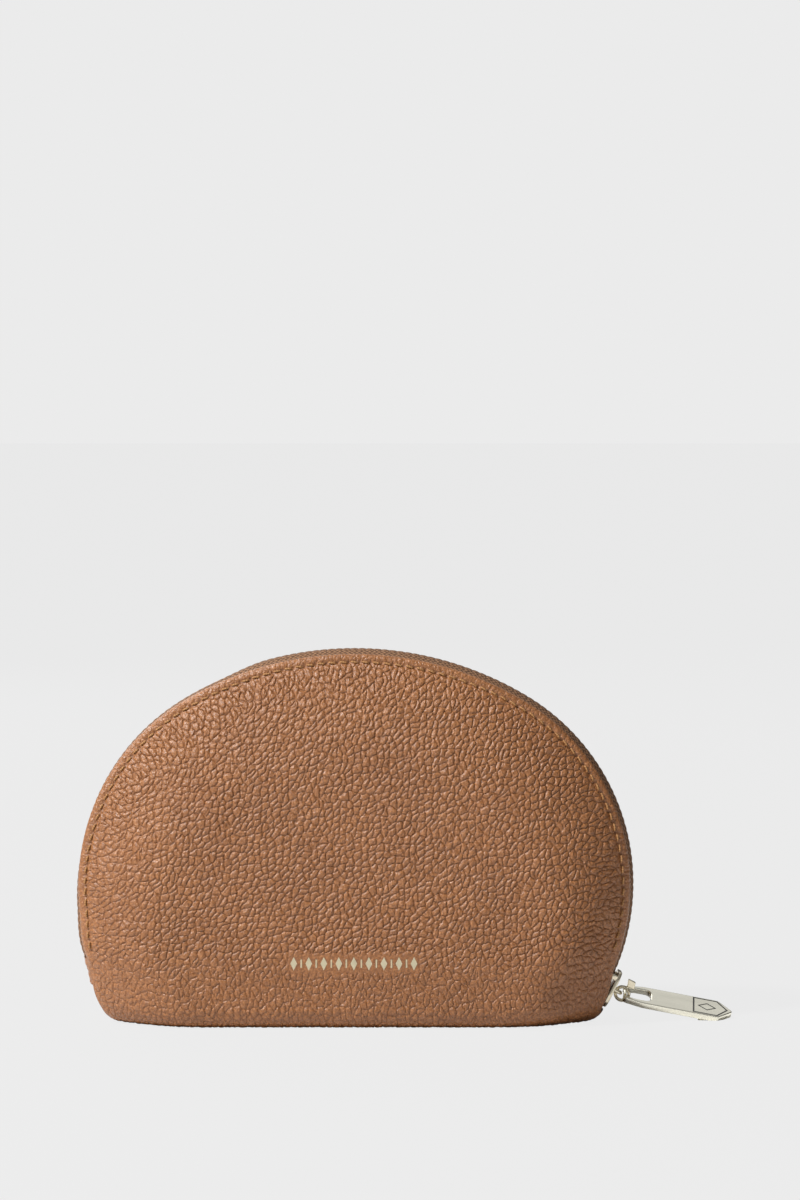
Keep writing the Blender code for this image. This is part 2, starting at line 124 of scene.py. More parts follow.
# Zip
BUMP_PITCH = 1.81 * MM
BUMP_HEIGHT = 0.16 * MM
BUMP_DROP = 0.05 * MM
TAPE_EDGE_Y = 5.8 * MM
TAPE_PROFILE = ((0.2 * MM, 0.70 * MM), (1.5 * MM, 0.60 * MM), (2.8 * MM, 0.30 * MM), (4.0 * MM, -0.10 * MM),
                (5.0 * MM, -0.55 * MM))
TAPE_LOW_Z = 2.7 * MM
TAPE_HIGH_Z = 14.3 * MM
TAPE_TUCK = 1.1 * MM
COIL_WIRE = 0.29 * MM
COIL_STEPS = 14
TUBE_SIDES = 8
TAPE = 0.45 * MM
PARTING = 0.8 * MM
SINK = 0.8 * MM
POST_X = 3.1 * MM
SLIDER_REST = 0.9 * MM

# Slider and puller
SLIDER_LENGTH = 9.2 * MM
OUTER_PLATE = (1.3 * MM, 2.3 * MM)
INNER_PLATE = (-4.0 * MM, -3.0 * MM)
BRIDGE_CLEAR = 1.5 * MM
BRIDGE_HALF = 1.2 * MM
BRIDGE_RADIUS = 0.42 * MM
RING_RADIUS = 1.6 * MM
RING_WIRE = 0.42 * MM
PULLER_LENGTH = 26.0 * MM
PULLER_HALF_WIDTH = 4.0 * MM
PULLER_NECK_HALF = 3.0 * MM
PULLER_THICKNESS = 1.5 * MM
PULLER_BAR_RADIUS = 0.42 * MM
PULLER_WINDOW_END = 6.6 * MM
PULLER_WINDOW_HALF = 2.2 * MM
PULLER_POINT = 3.3 * MM
PULLER_SLOPE = math.radians(10.8)
PULLER_ROLL = math.radians(21)

# Foil ornament low on the front
FOIL_Z = 15.4 * MM
FOIL_HALF_LENGTH = 14.6 * MM
FOIL_HALF_HEIGHT = 1.55 * MM
FOIL_MARKS = 17
FOIL_DASH_HALF_WIDTH = 0.17 * MM
FOIL_LOZENGE_HALF_WIDTH = 0.78 * MM
FOIL_LIFT = 0.035 * MM

FRONT = -1
BACK = 1


# ---- The pouch's surface ----

def smooth(low, high, value):
    """Smooth step of a value from 0 at one bound to 1 at the other."""
    share = np.clip((value - low) / (high - low), 0, 1)
    return share * share * (3 - 2 * share)


def vectors(x, y, z):
    """Array of vectors from their parts, any of which may be one number for all."""
    return np.stack(np.broadcast_arrays(x, y, z), axis=-1)


def unit(vector):
    return vector / np.maximum(np.linalg.norm(vector, axis=-1, keepdims=True), 1e-12)


def arch(run, outward=0.0):
    """Points (x, z) and outward directions at signed distances along the arch from its top."""
    run = np.asarray(run, dtype=float)
    side = np.where(run < 0, -1.0, 1.0)
    far = np.abs(run)
    crown = far <= CROWN_RUN
    on_side = np.maximum(FLARE_START, CROWN_START - (far - CROWN_RUN) / SIDE_RADIUS)
    angle = np.where(crown, np.pi / 2 - far / CROWN_RADIUS, on_side)
    past = np.maximum(0, far - CROWN_RUN - SIDE_RUN)
    radius = np.where(crown, CROWN_RADIUS, SIDE_RADIUS)
    x = np.where(crown, 0, SIDE_X) + radius * np.cos(angle) + past * np.sin(angle)
    z = np.where(crown, CROWN_Z, SIDE_Z) + radius * np.sin(angle) - past * np.cos(angle)
    out_x, out_z = side * np.cos(angle), np.sin(angle)
    return side * x + out_x * outward, z + out_z * outward, out_x, out_z


def run_at_height(z):
    """Distance along the arch from its top down to a height, by halving the span that holds it."""
    low, high = 0.0, 0.2
    for _ in range(50):
        middle = (low + high) / 2
        if arch(middle)[1] > z:
            low = middle
        else:
            high = middle
    return low


def arch_place(x, z):
    """Inset from the arch and signed distance along it, for points inside it."""
    far = np.abs(x)
    from_side_x, from_side_z = far - SIDE_X, z - SIDE_Z
    crown_angle = np.arctan2(far, z - CROWN_Z)
    side_angle = np.arctan2(from_side_z, from_side_x)
    in_crown = crown_angle < np.pi / 2 - CROWN_START
    on_side = side_angle > FLARE_START
    down, out = math.sin(FLARE_START), math.cos(FLARE_START)
    crown_inset = CROWN_RADIUS - np.hypot(far, z - CROWN_Z)
    side_inset = SIDE_RADIUS - np.hypot(from_side_x, from_side_z)
    flare_inset = SIDE_RADIUS - from_side_x * out - from_side_z * down
    side_run = CROWN_RUN + SIDE_RADIUS * (CROWN_START - side_angle)
    flare_run = CROWN_RUN + SIDE_RUN + from_side_x * down - from_side_z * out
    inset = np.where(in_crown, crown_inset, np.where(on_side, side_inset, flare_inset))
    run = np.where(in_crown, CROWN_RADIUS * crown_angle, np.where(on_side, side_run, flare_run))
    return inset, np.sign(x) * run


def half_depth(x, z):
    """Distance of the leather's outer face from the middle plane."""
    width = BASE_BULGE_WIDTH + (BULGE_WIDTH - BASE_BULGE_WIDTH) * smooth(0, 40 * MM, z - SPLIT_Z)
    fullest = BASE_HALF_DEPTH - DEPTH_TAPER * np.maximum(z - SPLIT_Z, 0)
    reach = np.minimum(arch_place(x, z)[0] / width, 1)
    return EDGE_Y + (fullest - EDGE_Y) * (1 - (1 - reach) ** 2)


def skin(x, z, side, height):
    """Points a given height above the leather's smooth outer face."""
    slope_x = (half_depth(x + SLOPE_STEP, z) - half_depth(x - SLOPE_STEP, z)) / (2 * SLOPE_STEP)
    slope_z = (half_depth(x, z + SLOPE_STEP) - half_depth(x, z - SLOPE_STEP)) / (2 * SLOPE_STEP)
    normal = unit(vectors(-slope_x, side, -slope_z))
    return vectors(x, side * half_depth(x, z), z) + normal * np.asarray(height)[..., None], normal


def spread(x, z):
    """Sideways growth towards the base's ends, and a little of it up the left side where no slider runs."""
    left = LEFT_SPREAD * smooth(27 * MM, 17 * MM, z) * (x < 0)
    base = BASE_SPREAD * smooth(14 * MM, 4 * MM, z)
    return np.sign(x) * np.clip(np.abs(x) / (0.9 * HALF_WIDTH), 0, 1) ** 3 * (left + base)


def before_spread(x, z):
    """Sideways places that the spread carries to the given ones, by a few rounds of substitution."""
    plain = x
    for _ in range(3):
        plain = x - spread(plain, z)
    return plain


def settle(points):
    """Moves points of the zip out with the spread of the leather beside them."""
    points = np.array(points, dtype=float)
    points[..., 0] += spread(points[..., 0], points[..., 2]) * (points[..., 0] < 0)
    return points


def crowded(count, low_end, high_end):
    """Positions from 0 to 1, closer together towards the chosen ends."""
    share = np.linspace(0, 1, 2001)
    extra, band = 1.5, 0.035
    density = 1 + extra * (low_end * np.exp(-share / band) + high_end * np.exp(-(1 - share) / band))
    total = np.concatenate([[0], np.cumsum((density[1:] + density[:-1]) / 2)])
    return np.interp(np.linspace(0, total[-1], count), total, share)


def panel_places(u, v):
    """Points (x, z) inside the arch for u across and v up, by blending its four sides."""
    foot = run_at_height(PATCH_FOOT)
    shoulder = foot * SHOULDER_SHARE
    u, v = u[None, :, None], v[:, None, None]

    def at(run):
        return np.stack(arch(run)[:2], axis=-1)

    left = at(-(foot + (shoulder - foot) * v[..., 0]))
    right = at(foot + (shoulder - foot) * v[..., 0])
    top = at(shoulder * (2 * u[..., 0] - 1))
    low = at(-foot) * (1 - u) + at(foot) * u
    high = at(-shoulder) * (1 - u) + at(shoulder) * u
    return low * (1 - v) + top * v + left * (1 - u) + right * u - (low * (1 - v) + high * v)


def draw_in(height, radius):
    """How far a wall that rounds into the base has drawn in at a height."""
    return radius - math.sqrt(max(radius ** 2 - max(radius - height, 0) ** 2, 0))


def half_shell(side, columns, panel_rows, wall_rows):
    """Smooth grid down one panel, round the base's edge and under it to the middle, and its corner middles."""
    across = crowded(columns, 1, 1)
    places = panel_places(across, 1 - crowded(panel_rows, 1, 0))
    x, z = places[..., 0], places[..., 1]
    shell = [vectors(x + spread(x, z), side * half_depth(x, z), z)]
    middles = [np.abs(shell[0][:, 0, 0])]
    third = wall_rows // 3
    straight = np.linspace(PATCH_FOOT, BASE_ROUND, third + 1)[1:-1]
    rounded_heights = BASE_ROUND * (1 - np.sin(np.linspace(0, np.pi / 2, third)))
    for height in np.concatenate([straight, rounded_heights]):
        end = float(arch(run_at_height(height))[0])
        x = end * (2 * across - 1)
        rise = (half_depth(x - SLOPE_STEP, height) - half_depth(x + SLOPE_STEP, height)) / (2 * SLOPE_STEP)
        wide = (x + spread(x, height)) * (1 - draw_in(height, CORNER_ROUND) / end)
        deep = half_depth(x, height) - draw_in(height, BASE_ROUND) / np.hypot(rise, 1)
        shell.append(vectors(wide, side * deep, height)[None])
        middles.append([abs(wide[-1])])
    last = shell[-1][0]
    for share in np.linspace(0, 1, third + 1)[1:]:
        shell.append((last * (1, 1 - share, 1))[None])
        middles.append([middles[-1][0] * (1 - share) + abs(last[0, 0]) * share])
    return np.concatenate(shell), np.concatenate(middles)


def grid_normals(points, side):
    """Directions square to a grid of points; outwards for the outside of one half, on its side."""
    return unit(np.cross(np.gradient(points, axis=1), np.gradient(points, axis=0)) * side)


def lengths(points, axis):
    """Distances along a grid's lines from where they start."""
    steps = np.linalg.norm(np.diff(points, axis=axis), axis=-1)
    start = np.zeros_like(steps.take([0], axis))
    return np.concatenate([start, np.cumsum(steps, axis=axis)], axis=axis)


# ---- Grain ----

def noise(x, z, size, seed):
    """Smooth random field from -1 to 1 whose hills are about a size apart."""
    table = np.random.default_rng(seed).random((NOISE_TABLE, NOISE_TABLE)) * 2 - 1
    column, row = np.floor(x / size).astype(int), np.floor(z / size).astype(int)
    right, up = smooth(0, 1, x / size - column), smooth(0, 1, z / size - row)
    here, beyond = column % NOISE_TABLE, (column + 1) % NOISE_TABLE
    low, high = (table[here, level % NOISE_TABLE] * (1 - right) + table[beyond, level % NOISE_TABLE] * right
                 for level in (row, row + 1))
    return low * (1 - up) + high * up


def pebble_gap(x, z, lean_x, lean_z, cell, stretch, seed):
    """Distance to the nearest pebble's border, by a ruler stretched along the grain's lean; 0 on the border."""
    table = np.random.default_rng(seed).random((PEBBLE_TABLE, PEBBLE_TABLE, 2))
    column, row = np.floor(x / cell).astype(int), np.floor(z / cell).astype(int)
    nearest = np.full(x.shape, 9.0)
    second = np.full(x.shape, 9.0)
    for right in range(-2, 3):
        for up in range(-2, 3):
            jitter = table[(column + right) % PEBBLE_TABLE, (row + up) % PEBBLE_TABLE]
            dx = (column + right + 0.1 + 0.8 * jitter[..., 0]) - x / cell
            dz = (row + up + 0.1 + 0.8 * jitter[..., 1]) - z / cell
            along = (dx * lean_x + dz * lean_z) / stretch
            aside = (dz * lean_x - dx * lean_z) * stretch
            distance = np.hypot(along, aside)
            second = np.minimum(second, np.maximum(nearest, distance))
            nearest = np.minimum(nearest, distance)
    return second - nearest


def leather_relief(x, down, z, inset, run):
    """Height of the grain with its creases, and painted shade in the creases, over one leather skin."""
    def field(size, seed):
        return noise(x, down, size, seed)

    wander_x = x + 0.30 * MM * field(1.5 * MM, 3) + 0.12 * MM * field(0.6 * MM, 13)
    wander_z = down + 0.30 * MM * field(1.5 * MM, 4) + 0.12 * MM * field(0.6 * MM, 14)
    # The lean turns square to the edge near the arch and upright along the bottom. Doubled angles let it blend.
    out_x, out_z = arch(run)[2:]
    edge = 1 - smooth(0.35 * EDGE_GRAIN_REACH, EDGE_GRAIN_REACH, inset + 2 * MM * field(7 * MM, 5))
    low = 1 - smooth(12 * MM, 19 * MM, z + 2 * MM * field(6 * MM, 6))
    lean = GRAIN_LEAN + 0.35 * field(9 * MM, 7)
    edge, inner = edge * (1 - low), (1 - edge) * (1 - low)
    double_x = np.cos(2 * lean) * inner + (out_x ** 2 - out_z ** 2) * edge - low
    double_z = np.sin(2 * lean) * inner + 2 * out_x * out_z * edge
    lean = np.arctan2(double_z, double_x) / 2
    lean_x, lean_z = np.cos(lean), np.sin(lean)
    stretch = GRAIN_STRETCH + 0.12 * field(5 * MM, 8)
    coarse = pebble_gap(wander_x, wander_z, lean_x, lean_z, GRAIN_CELL, stretch, 21)
    fine = pebble_gap(wander_x, wander_z, lean_x, lean_z, 0.62 * GRAIN_CELL, stretch, 22)
    flank = np.sin(np.clip(coarse / 0.24, 0, 1) * np.pi / 2)
    crown = np.sin(np.clip(coarse / 1.0, 0, 1) * np.pi / 2)
    dome = 0.60 * flank + 0.40 * crown
    vary = 0.92 + 0.08 * field(4 * MM, 9)
    height = GRAIN_HEIGHT * vary * (0.88 * dome + 0.12 * smooth(0, 0.3, fine) * dome)
    height += 0.04 * MM * field(0.42 * MM, 10)
    # Painted shade: a darkness along the pebbles' creases, and a little along the fine ones, that the skin's
    # colour takes where shade falls.
    crease = (1 - smooth(0.0, 0.12, coarse)) * (0.75 + 0.25 * field(2.5 * MM, 11))
    crease = np.maximum(crease, 0.2 * (1 - smooth(0.01, 0.12, fine)))
    calm = 1 - 0.25 * low
    folds = low * noise(x, down * 0.22, 0.9 * MM, 12) * 0.05 * MM
    return (height - GRAIN_HEIGHT * 0.6) * calm + folds, crease * calm


def foil_calm(x, z, on_panel):
    """Share of the grain that the stamping of the foil ornament flattens."""
    along = 1 - smooth(FOIL_HALF_LENGTH, FOIL_HALF_LENGTH + 1.5 * MM, np.abs(x))
    across = 1 - smooth(FOIL_HALF_HEIGHT + 0.2 * MM, FOIL_HALF_HEIGHT + 1.2 * MM, np.abs(z - FOIL_Z))
    return along * across * on_panel


def hump(distance, width):
    return np.exp(-(distance / width) ** 2)


def rolled_edge(inset):
    """Drop of the leather where it rolls over its edge."""
    turned = np.clip(inset / ROLL_REACH, 0, 1)
    return -ROLL * (1 - np.sqrt(1 - (1 - turned) ** 2))


def edge_relief(inset, run):
    """Height of the rolled edge, its bead, and the furrow with its needle holes, and painted shade in the
    furrow and the holes.
    """
    furrow = hump(inset - STITCH_INSET, FURROW_WIDTH)
    to_hole = np.abs((run / STITCH_PITCH) % 1 - 0.5) * STITCH_PITCH
    hole = hump(to_hole, 0.28 * MM) * hump(inset - STITCH_INSET, 0.36 * MM)
    wrinkles = (0.055 * MM * noise(run, inset * 0.2, 0.55 * MM, 15)
                + 0.03 * MM * noise(run, inset * 0.3, 1.3 * MM, 16))
    height = rolled_edge(inset) + BEAD_HEIGHT * hump(inset - BEAD_INSET, BEAD_WIDTH)
    height += hump(inset - BEAD_INSET, 0.9 * MM) * wrinkles - FURROW * furrow - HOLE_DEPTH * hole
    # The second value is painted shade: darkest in the needle holes, lighter along the furrow.
    return height, np.clip(0.22 * furrow + hole, 0, 1)


def skin_relief(base, down, on_panel, side):
    """Height and painted shade over one leather skin: the grain, the sewn edge and the calm round the foil; the
    shade lies in the creases, the furrow and the needle holes.
    """
    x, z = base[..., 0], base[..., 2]
    inset, run = arch_place(before_spread(x, z), np.maximum(z, 0.5 * MM))
    inset = np.maximum(inset, 0)
    offset = 0 if side == FRONT else BACK_GRAIN_OFFSET
    grain, crease = leather_relief(x + offset, down + offset, z, inset, run)
    left_sewn = smooth(LEFT_CORNER_TOP - 1.5 * MM, LEFT_CORNER_TOP + 0.5 * MM, z)
    right_sewn = smooth(STITCH_END_Z - 3 * MM, STITCH_END_Z, z)
    right_rolled = smooth(RIGHT_CORNER_TOP - 1.0 * MM, RIGHT_CORNER_TOP + 1.5 * MM, z)
    sewn = np.where(x < 0, left_sewn, right_sewn)
    rolled = np.where(x < 0, left_sewn, right_rolled)
    edge_height, edge_crease = edge_relief(inset, run)
    edge_height = edge_height * sewn + rolled_edge(inset) * np.maximum(rolled - sewn, 0)
    # The grain fades out towards the edge, slower where the edge is sewn, and under the pouch's middle.
    away = 0.3 * smooth(0.2 * MM, 0.8 * MM, inset) + 0.7 * smooth(2.0 * MM, 3.8 * MM, inset)
    unsewn_away = smooth(0, 1.5 * MM, inset)
    fade = np.where(on_panel, away * sewn + unsewn_away * (1 - sewn), unsewn_away)
    grain = grain * fade * smooth(0, 0.5 * MM, np.abs(base[..., 1]))
    crease = crease * fade
    if side == FRONT:
        calm = foil_calm(x, z, on_panel)
        grain = grain * (1 - 0.85 * calm)
        crease = crease * (1 - 0.6 * calm)
    return grain + edge_height, np.clip(crease + edge_crease * sewn, 0, 1)


# ---- Meshes ----

def add_object(name, mesh, material):
    item = bpy.data.objects.new(name, mesh)
    bpy.context.scene.collection.objects.link(item)
    mesh.materials.append(material)
    return item


def quad_object(name, points, quads, material, **fields):
    """Smooth-shaded object from points and quads, with fields that its material reads."""
    points = np.asarray(points, dtype=np.float32).reshape(-1, 3)
    quads = np.asarray(quads, dtype=np.int32).reshape(-1, 4)
    mesh = bpy.data.meshes.new(name)
    mesh.vertices.add(len(points))
    mesh.vertices.foreach_set("co", points.ravel())
    mesh.loops.add(quads.size)
    mesh.loops.foreach_set("vertex_index", quads.ravel())
    mesh.polygons.add(len(quads))
    mesh.polygons.foreach_set("loop_start", np.arange(0, quads.size, 4, dtype=np.int32))
    mesh.polygons.foreach_set("use_smooth", np.ones(len(quads), dtype=bool))
    for field, values in fields.items():
        layer = mesh.attributes.new(field, "FLOAT", "POINT")
        layer.data.foreach_set("value", np.asarray(values, dtype=np.float32).ravel())
    mesh.update(calc_edges=True)
    return add_object(name, mesh, material)


def grid_quads(index, flip):
    """Faces between the neighbours of a 2-D array of vertex numbers."""
    corners = [index[:-1, :-1], index[:-1, 1:], index[1:, 1:], index[1:, :-1]]
    if flip:
        corners.reverse()
    return np.stack(corners, axis=-1).reshape(-1, 4)


class Surface:
    """Vertices with a darkness each, and quads, gathered patch by patch."""

    def __init__(self):
        self.points = []
        self.darkness = []
        self.quads = []
        self.count = 0

    def add_points(self, points, darkness=0.0):
        shape = points.shape[:-1]
        self.points.append(points.reshape(-1, 3))
        self.darkness.append(np.broadcast_to(darkness, shape).ravel())
        index = self.count + np.arange(int(np.prod(shape))).reshape(shape)
        self.count += index.size
        return index

    def add_quads(self, index, flip):
        self.quads.append(grid_quads(index, flip))

    def make(self, name, material):
        return quad_object(name, np.concatenate(self.points), np.concatenate(self.quads), material,
                           crease=np.concatenate(self.darkness))


def corner_patch(surface, index, points, down, middles, end, top, side, columns):
    """Continues a shell round one end of the base to the middle plane.

    Returns the shell row it starts from, and the points and vertex numbers along its top.
    """
    column = 0 if end < 0 else -1
    rows = np.nonzero(points[:, column, 2] <= top)[0]
    border = points[rows, column]
    x, y, z = border.T
    reach = end * np.maximum(middles[rows] + CORNER_BULGE * np.clip(np.abs(y) / EDGE_Y, 0, 1), np.abs(x))
    middle = vectors(reach, 0, z)
    control = vectors(reach, y * CORNER_FULLNESS, z)
    t = np.linspace(0, 1, columns)[None, :, None]
    patch = (1 - t) ** 2 * border[:, None] + 2 * t * (1 - t) * control[:, None] + t ** 2 * middle[:, None]
    normal = grid_normals(patch, side * end)
    along = lengths(patch, 1)
    height = patch[..., 2]
    far_inside = np.full_like(height, 2 * EDGE_GRAIN_REACH)
    border_down = np.broadcast_to(down[rows, column][:, None], along.shape)
    place = (end * (HALF_WIDTH + along), border_down, height)
    grain, crease = leather_relief(*place, far_inside, np.zeros_like(along))
    fade = smooth(0, 1.5 * MM, along) * smooth(0, 1.2 * MM, np.abs(patch[..., 1]))
    fade = fade * smooth(0, 1.5 * MM, top - height)
    patch = patch + normal * (grain * fade)[..., None]
    made = surface.add_points(patch[:, 1:], (crease * fade)[:, 1:])
    surface.add_quads(np.concatenate([index[rows, column][:, None], made], axis=1), (side > 0) == (end < 0))
    return rows[0], patch[0], np.concatenate([index[rows[:1], column], made[0]])


def rim(grid, left_row, right_row, left_end, right_end):
    """A grid's values along its free edge, from one end corner over the arch to the other."""
    return np.concatenate([
        left_end[::-1], grid[:left_row, 0][::-1], grid[0, 1:-1], grid[:right_row, -1], right_end,
    ])


def turn_edge(surface, loop, points, direction, depths, side, darkness=0.0):
    """Strip that turns away from a rim, one row of points for each depth."""
    rows = [loop] + [surface.add_points(points + direction * depth, darkness) for depth in depths]
    surface.add_quads(np.stack(rows), side < 0)


def leather_skin(name, side, material, columns, panel_rows, wall_rows):
    """One half of the leather outside: panel, wall, half of the underside and halves of both end corners."""
    base, middles = half_shell(side, columns, panel_rows, wall_rows)
    normals = grid_normals(base, side)
    below = lengths(base, 0)
    foot_row = panel_rows - 1
    on_panel = np.arange(len(base))[:, None] <= foot_row
    down = np.where(on_panel, base[..., 2], PATCH_FOOT - (below - below[foot_row]))
    height, crease = skin_relief(base, down, on_panel, side)
    points = base + normals * height[..., None]
    surface = Surface()
    index = surface.add_points(points, crease)
    surface.add_quads(index, side > 0)
    shell = (surface, index, points, down, middles)
    left_row, left_top, left_index = corner_patch(*shell, -1, LEFT_CORNER_TOP, side, wall_rows)
    right_row, right_top, right_index = corner_patch(*shell, 1, RIGHT_CORNER_TOP, side, wall_rows)
    # The turned-in edge follows the rim, and leans down and in across both corners' tops.
    edge_points = rim(points, left_row, right_row, left_top, right_top)
    inward = rim(-normals, left_row, right_row, np.tile((1.0, 0, -0.3), (len(left_top), 1)),
                 np.tile((-1.0, 0, -0.3), (len(right_top), 1)))
    loop = rim(index, left_row, right_row, left_index, right_index)
    turn_edge(surface, loop, edge_points, inward, TURNED_DEPTHS, side, CUT_EDGE_DARKNESS)
    return surface.make(name, material)


def lining_skin(name, side, material):
    """One half of the lining, inside the leather, with its top edge turned up towards the tape."""
    base, _ = half_shell(side, columns=150, panel_rows=90, wall_rows=18)
    normals = grid_normals(base, side)
    points = base - normals * LINING_DEPTH
    points[..., 2] = np.maximum(points[..., 2], 0)
    points[-1, :, 1] = 0
    surface = Surface()
    index = surface.add_points(points)
    surface.add_quads(index, side > 0)
    loop, edge_points, out = (rim(grid, len(grid), len(grid), grid[:0, 0], grid[:0, 0])
                              for grid in (index, points, normals))
    turn_edge(surface, loop, edge_points, out, (LINING_TURN,), side)
    return surface.make(name, material)


def stiffener(name, side, material):
    """Thin board between the leather and the lining."""
    panel_rows = 40
    shell, _ = half_shell(side, columns=60, panel_rows=panel_rows, wall_rows=9)
    x, z = shell[:panel_rows, :, 0], shell[:panel_rows, :, 2]
    inset, run = arch_place(x, z)
    pull = np.maximum(STIFFENER_INSET - inset, 0)
    out_x, out_z = arch(run)[2:]
    x, z = x - out_x * pull, np.maximum(z - out_z * pull, SPLIT_Z + 3 * MM)
    points, _ = skin(x, z, side, np.full_like(x, -STIFFENER_DEPTH))
    return quad_object(name, points, grid_quads(np.arange(x.size).reshape(x.shape), side > 0), material)


def tubes(paths, normals, radii):
    """Points and quads of round tubes along (tube, step) paths; radii may vary along them."""
    tangent = unit(np.gradient(paths, axis=1))
    normals = unit(normals - tangent * np.sum(normals * tangent, axis=-1, keepdims=True))
    across = np.cross(tangent, normals)
    angle = 2 * np.pi * np.arange(TUBE_SIDES) / TUBE_SIDES
    ring = normals[:, :, None] * np.cos(angle)[:, None] + across[:, :, None] * np.sin(angle)[:, None]
    points = paths[:, :, None] + ring * radii[..., None, None]
    index = np.arange(points[..., 0].size).reshape(points.shape[:-1])
    wrapped = np.concatenate([index, index[:, :, :1]], axis=2)
    corners = [wrapped[:, :-1, :-1], wrapped[:, :-1, 1:], wrapped[:, 1:, 1:], wrapped[:, 1:, :-1]]
    return points, np.stack(corners, axis=-1).reshape(-1, 4)


def stitches(name, side, material):
    """Row of separate stitches lying in the furrow, each slightly slanted and diving into its holes."""
    reach = run_at_height(STITCH_END_Z)
    count = int(reach / STITCH_PITCH)
    middle = np.arange(-count, count + 1) * STITCH_PITCH
    middle, share = np.meshgrid(middle, np.linspace(-1, 1, 11), indexing="ij")
    run = middle + share * STITCH_LENGTH / 2
    x, z = arch(run, -(STITCH_INSET + STITCH_SLANT * share))[:2]
    paths, normals = skin(x, z, side, -FURROW + 0.30 * MM - 0.34 * MM * share ** 4)
    radii = STITCH_RADIUS * np.sqrt(1 - 0.96 * share ** 6)
    points, quads = tubes(paths, normals, radii)
    twist = np.broadcast_to((run / MM)[..., None], points.shape[:-1])
    return quad_object(name, settle(points), quads, material, along=twist)


def slider_run():
    return CROWN_RUN + SIDE_RUN + SLIDER_REST


def parting(run):
    """How far each half of the zip is spread beside the slider's post and below it."""
    low = slider_run() + POST_X - 3.0 * MM
    return PARTING * smooth(low, low + 2.2 * MM, run)


def sink(run):
    """How far the zip sits lower between the panels round the left shoulder."""
    return SINK * smooth(-20 * MM, -34 * MM, run) * smooth(-104 * MM, -84 * MM, run)


def zip_tape(name, side, material):
    """Woven tape of one half, from the zip's middle to its tuck under the leather, with the coil's bumps."""
    run = np.linspace(run_at_height(TAPE_LOW_Z), -run_at_height(TAPE_HIGH_Z), 2000)
    rows = []
    for y, height in TAPE_PROFILE:
        x, z = arch(run, height - sink(run))[:2]
        free = min((TAPE_EDGE_Y - y) / (1.5 * MM), 1)
        rows.append(vectors(x, side * (y + parting(run) * free), z))
    # Below the front's fold the tape ends between the leather's edges; above it, it is tucked under them.
    for row, share in enumerate((0, 0.4, 1)):
        x, z = arch(run, -1.05 * MM)[:2]
        short = vectors(x, side * (TAPE_EDGE_Y + (0.05 + 0.1 * row) * MM), z)
        x, z = arch(run, -TAPE_TUCK * share)[:2]
        tucked, _ = skin(x, z, side, np.full_like(x, -STIFFENER_DEPTH))
        tuck = smooth(SPLIT_Z + 1 * MM, SPLIT_Z + 4 * MM, z)[:, None]
        rows.append(short * (1 - tuck) + tucked * tuck)
    rows = np.stack(rows)
    finer = np.linspace(0, len(rows) - 1, 26)
    low = np.minimum(finer.astype(int), len(rows) - 2)
    points = rows[low] + (rows[low + 1] - rows[low]) * (finer - low)[:, None, None]
    width = np.abs(points[..., 1])
    bump = np.sqrt(np.abs(np.cos(np.pi * run / BUMP_PITCH))) * (1 - smooth(2.2 * MM, 3.6 * MM, width))
    out_x, out_z = arch(run)[2:]
    points = points + vectors(out_x, 0, out_z) * (bump * BUMP_HEIGHT - BUMP_DROP)[..., None]
    index = np.arange(width.size).reshape(width.shape)
    item = quad_object(name, settle(points), grid_quads(index, side > 0), material,
                       along=np.broadcast_to(run / MM, width.shape), aside=width / MM)
    shell = item.modifiers.new("thickness", "SOLIDIFY")
    shell.thickness = TAPE
    shell.offset = -1
    return item


def zip_coil(name, side, material):
    """One half of the zip's coil: a flattened helix whose heads reach between those of the other half."""
    right, left = run_at_height(TAPE_LOW_Z), -run_at_height(TAPE_HIGH_Z)
    run = np.linspace(right, left, int((right - left) / BUMP_PITCH * COIL_STEPS))
    phase = 2 * np.pi * run / BUMP_PITCH + (np.pi if side == FRONT else 0)
    y = (1.30 + 1.15 * np.cos(phase)) * MM + parting(run)
    height = (-1.35 + 0.62 * np.sin(phase)) * MM
    x, z, out_x, out_z = arch(run, height - sink(run))
    path = vectors(x, side * y, z)[None]
    points, quads = tubes(path, vectors(out_x, 0, out_z)[None], np.full(path.shape[:2], COIL_WIRE))
    return quad_object(name, settle(points), quads, material)


def foil(material):
    """Row of small gold lozenges and dashes stamped low on the front."""
    surface = Surface()
    share = np.linspace(-1, 1, 9)
    a, b = np.meshgrid(share, share)
    for mark in range(FOIL_MARKS):
        centre = FOIL_HALF_LENGTH * (2 * mark / (FOIL_MARKS - 1) - 1) * 0.955
        if mark % 2:
            x, z = a * FOIL_DASH_HALF_WIDTH, b * 0.62 * FOIL_HALF_HEIGHT
        else:
            x, z = (a - b) / 2 * FOIL_LOZENGE_HALF_WIDTH, (a + b) / 2 * FOIL_HALF_HEIGHT
        points, _ = skin(x + centre, z + FOIL_Z, FRONT, np.full_like(x, FOIL_LIFT))
        surface.add_quads(surface.add_points(points), False)
    return surface.make("foil_ornament", material)


# ---- Metal pieces ----

def frame_on_arch(run, height=0.0):
    """Matrix whose x runs along the arch towards its right end, y across it and z outwards."""
    x, z, out_x, out_z = (float(value) for value in arch(run, height))
    along = Vector((out_z, 0, -out_x))
    outward = Vector((out_x, 0, out_z))
    across = outward.cross(along)
    turn = Matrix((along, across, outward)).transposed().to_4x4()
    return Matrix.Translation((x, 0, z)) @ turn


